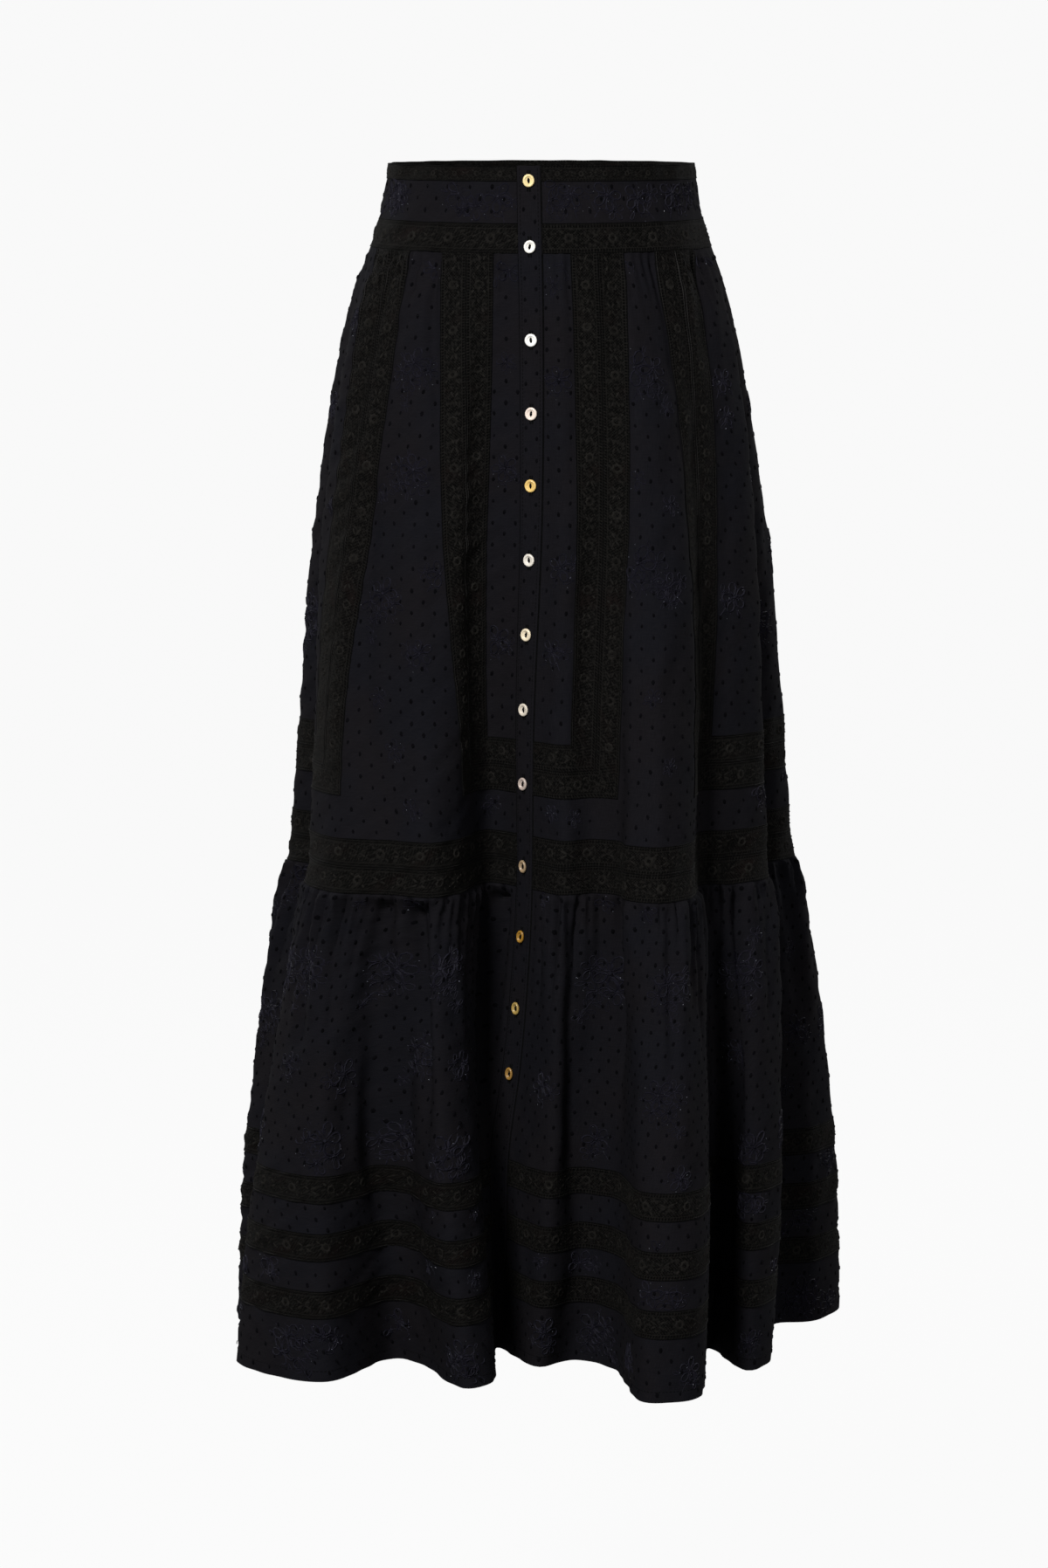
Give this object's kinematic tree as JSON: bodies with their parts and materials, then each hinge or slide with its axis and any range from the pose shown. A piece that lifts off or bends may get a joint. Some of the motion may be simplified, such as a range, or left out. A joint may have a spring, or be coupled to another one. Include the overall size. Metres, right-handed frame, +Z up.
{
  "type": "tiered maxi skirt",
  "caption": "Full-length skirt with a lace-trimmed yoke, a button placket, lace-framed panels and a gathered tier with lace bands, held open as if worn.",
  "frame": {"origin": "centre of the waist opening, level with the yoke's top edge", "axes": "+Z up out of the waist opening, the button placket faces -Y, +X is the viewer's right"},
  "size_m": [0.5058, 0.5107, 0.9651],
  "materials": {
    "dotted_cloth": "dark navy cotton with woven dots, matt",
    "lace": "warm black cotton lace ribbon, matt",
    "shell_button": "polished cream shell"
  },
  "bodies": {
    "root": {"yoke_lace_top": "lace", "yoke_cloth": "dotted_cloth", "yoke_lace_lower": "lace", "placket_top": "dotted_cloth", "placket_under": "dotted_cloth", "front_centre_right": "dotted_cloth", "front_centre_left": "dotted_cloth", "front_lower_right": "dotted_cloth", "front_lower_left": "dotted_cloth", "front_side_right": "dotted_cloth", "front_side_left": "dotted_cloth", "lace_front_inner_right": "lace", "lace_front_inner_left": "lace", "lace_front_outer_right": "lace", "lace_front_outer_left": "lace", "lace_side_inner_right": "lace", "lace_side_inner_left": "lace", "lace_side_outer_right": "lace", "lace_side_outer_left": "lace", "back_panel": "dotted_cloth", "back_lower": "dotted_cloth", "seam_lace_upper_right": "lace", "seam_lace_upper_left": "lace", "seam_lace_lower_right": "lace", "seam_lace_lower_left": "lace", "tier_cloth_right": "dotted_cloth", "tier_cloth_left": "dotted_cloth", "tier_lace_1_right": "lace", "tier_lace_1_left": "lace", "tier_strip_1_right": "dotted_cloth", "tier_strip_1_left": "dotted_cloth", "tier_lace_2_right": "lace", "tier_lace_2_left": "lace", "tier_strip_2_right": "dotted_cloth", "tier_strip_2_left": "dotted_cloth", "tier_lace_3_right": "lace", "tier_lace_3_left": "lace", "hem_strip_right": "dotted_cloth", "hem_strip_left": "dotted_cloth", "button_01": "shell_button", "button_02": "shell_button", "button_03": "shell_button", "button_04": "shell_button", "button_05": "shell_button", "button_06": "shell_button", "button_07": "shell_button", "button_08": "shell_button", "button_09": "shell_button", "button_10": "shell_button", "button_11": "shell_button", "button_12": "shell_button", "button_13": "shell_button"}
  },
  "joints": []
}
